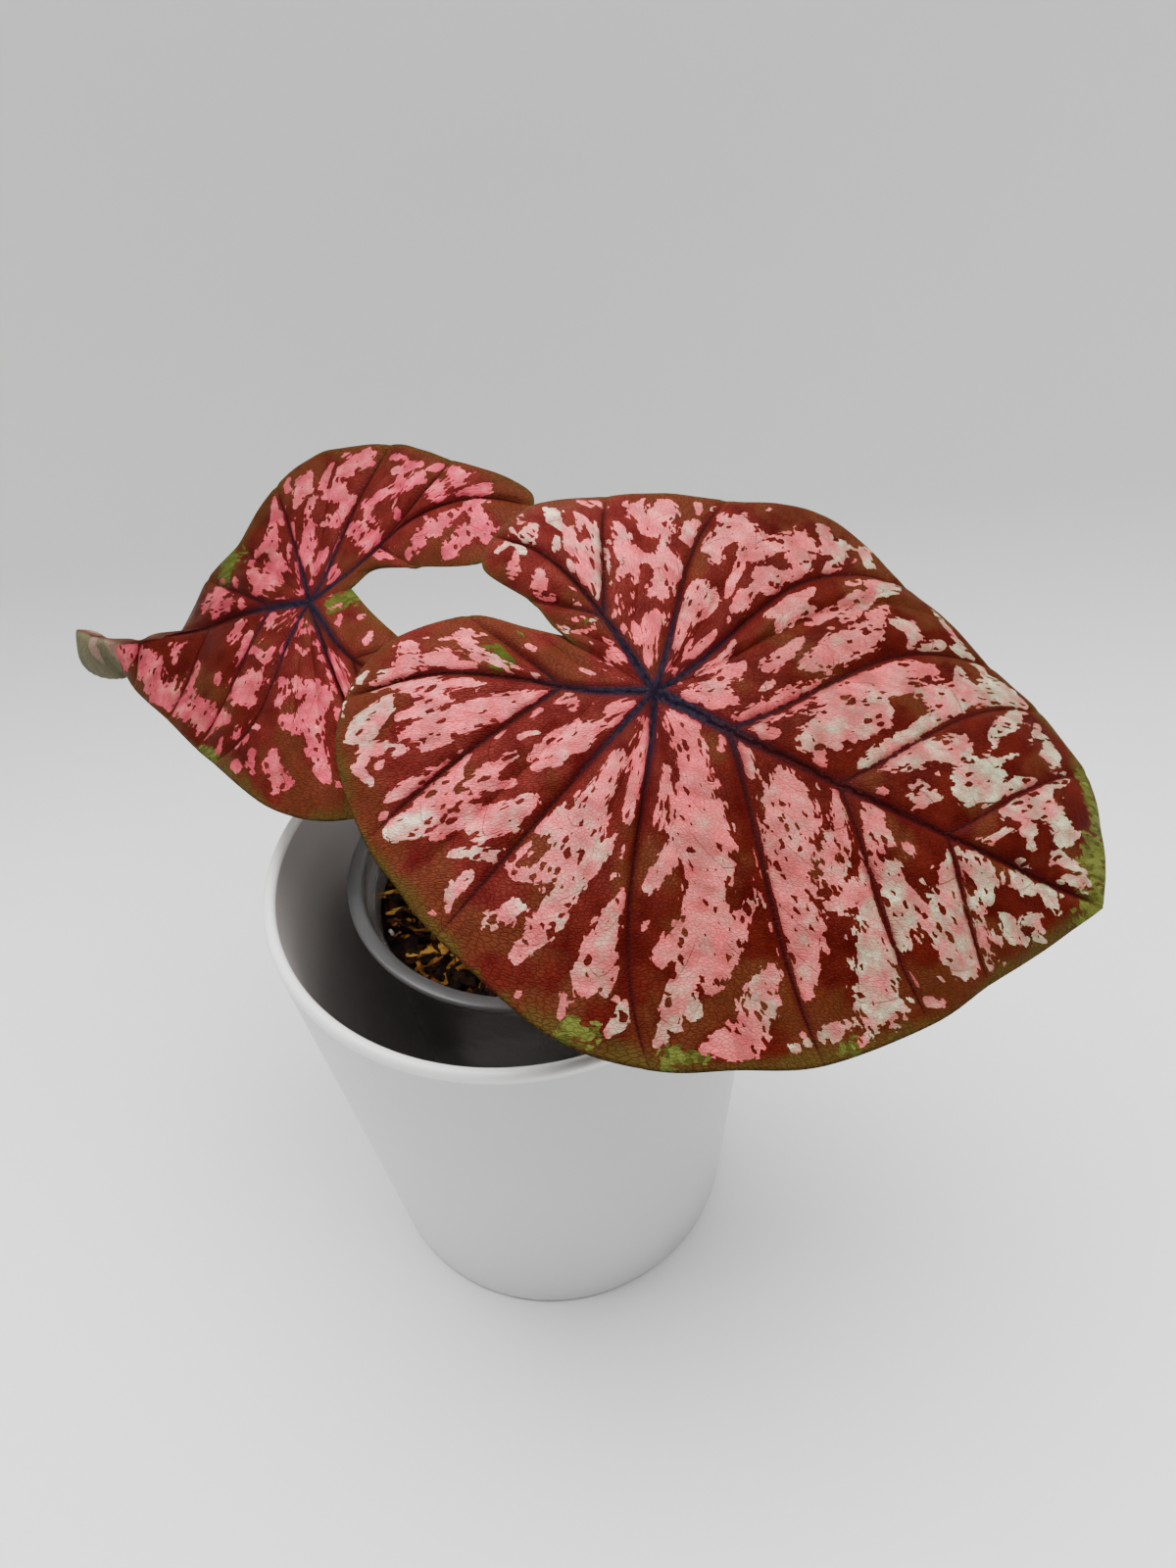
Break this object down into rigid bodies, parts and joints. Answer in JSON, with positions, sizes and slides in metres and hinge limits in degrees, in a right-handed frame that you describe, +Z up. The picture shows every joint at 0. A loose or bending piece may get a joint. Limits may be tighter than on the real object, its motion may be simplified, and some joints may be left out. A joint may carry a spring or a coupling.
{
  "type": "potted caladium",
  "caption": "Caladium with heart-shaped, pink-and-cream variegated red leaves on slender petioles, in a clear nursery pot of bark mix inside a white glazed cachepot.",
  "frame": {"origin": "centre of the cachepot's flat foot, on the surface it stands on", "axes": "+Z up along the cachepot's axis; -Y towards the side that the plant is seen from, with the large leaf's tip towards +X"},
  "size_m": [0.2615, 0.1697, 0.2252],
  "materials": {
    "white_glaze": "satin",
    "clear_plastic": "gloss",
    "bark_mix": "matte",
    "tuber_skin": "matte",
    "petiole_skin": "satin",
    "leaf": "satin"
  },
  "bodies": {
    "root": {"cachepot": "white_glaze", "nursery_pot": "clear_plastic", "potting_mix": "bark_mix", "tuber": "tuber_skin", "front_petiole": "petiole_skin", "front_blade": "leaf", "back_petiole": "petiole_skin", "back_blade": "leaf"}
  },
  "joints": []
}
